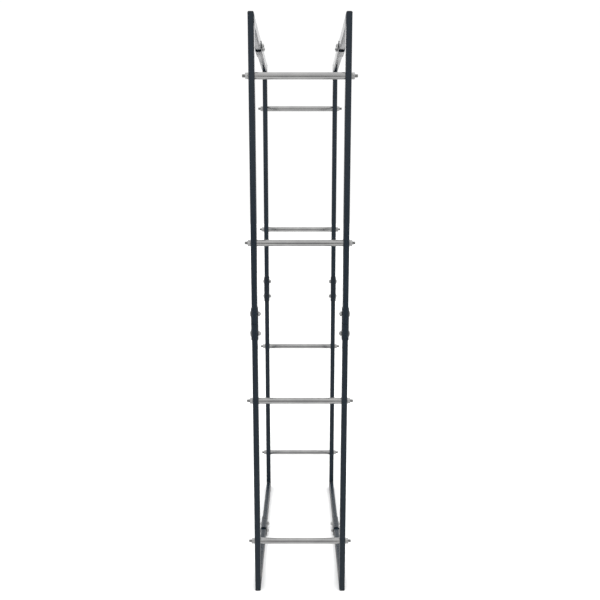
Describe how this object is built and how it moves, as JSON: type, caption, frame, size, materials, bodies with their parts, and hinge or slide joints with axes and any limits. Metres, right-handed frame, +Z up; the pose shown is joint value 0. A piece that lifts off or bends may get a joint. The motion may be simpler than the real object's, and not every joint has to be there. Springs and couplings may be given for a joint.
{
  "type": "firewood rack",
  "caption": "Tall free-standing log rack with rectangular black tube side frames, spliced half-way along each side and joined by round steel crossbars at both ends.",
  "frame": {"origin": "on the floor under the middle of the rack", "axes": "+X across the rack to its right, +Y along it from front to rear, +Z upwards"},
  "size_m": [0.336, 0.9, 1.8],
  "materials": {
    "frame_coat": "satin",
    "channel_coat": "satin",
    "bar_steel": "brushed",
    "fastener_steel": "satin"
  },
  "bodies": {
    "root": {"front_left_lower_corner": "frame_coat", "front_left_upper_corner": "frame_coat", "rear_left_lower_corner": "frame_coat", "rear_left_upper_corner": "frame_coat", "front_right_lower_corner": "frame_coat", "front_right_upper_corner": "frame_coat", "rear_right_lower_corner": "frame_coat", "rear_right_upper_corner": "frame_coat", "front_left_post_channel": "channel_coat", "rear_left_post_channel": "channel_coat", "front_right_post_channel": "channel_coat", "rear_right_post_channel": "channel_coat", "left_base_channel": "channel_coat", "left_top_channel": "channel_coat", "right_base_channel": "channel_coat", "right_top_channel": "channel_coat", "front_bottom_crossbar": "bar_steel", "front_lower_crossbar": "bar_steel", "front_upper_crossbar": "bar_steel", "front_top_crossbar": "bar_steel", "rear_bottom_crossbar": "bar_steel", "rear_lower_crossbar": "bar_steel", "rear_upper_crossbar": "bar_steel", "rear_top_crossbar": "bar_steel", "crossbar_studs": "fastener_steel", "crossbar_washers": "fastener_steel", "crossbar_nuts": "fastener_steel", "splice_bolts": "fastener_steel", "splice_nuts": "fastener_steel"}
  },
  "joints": []
}
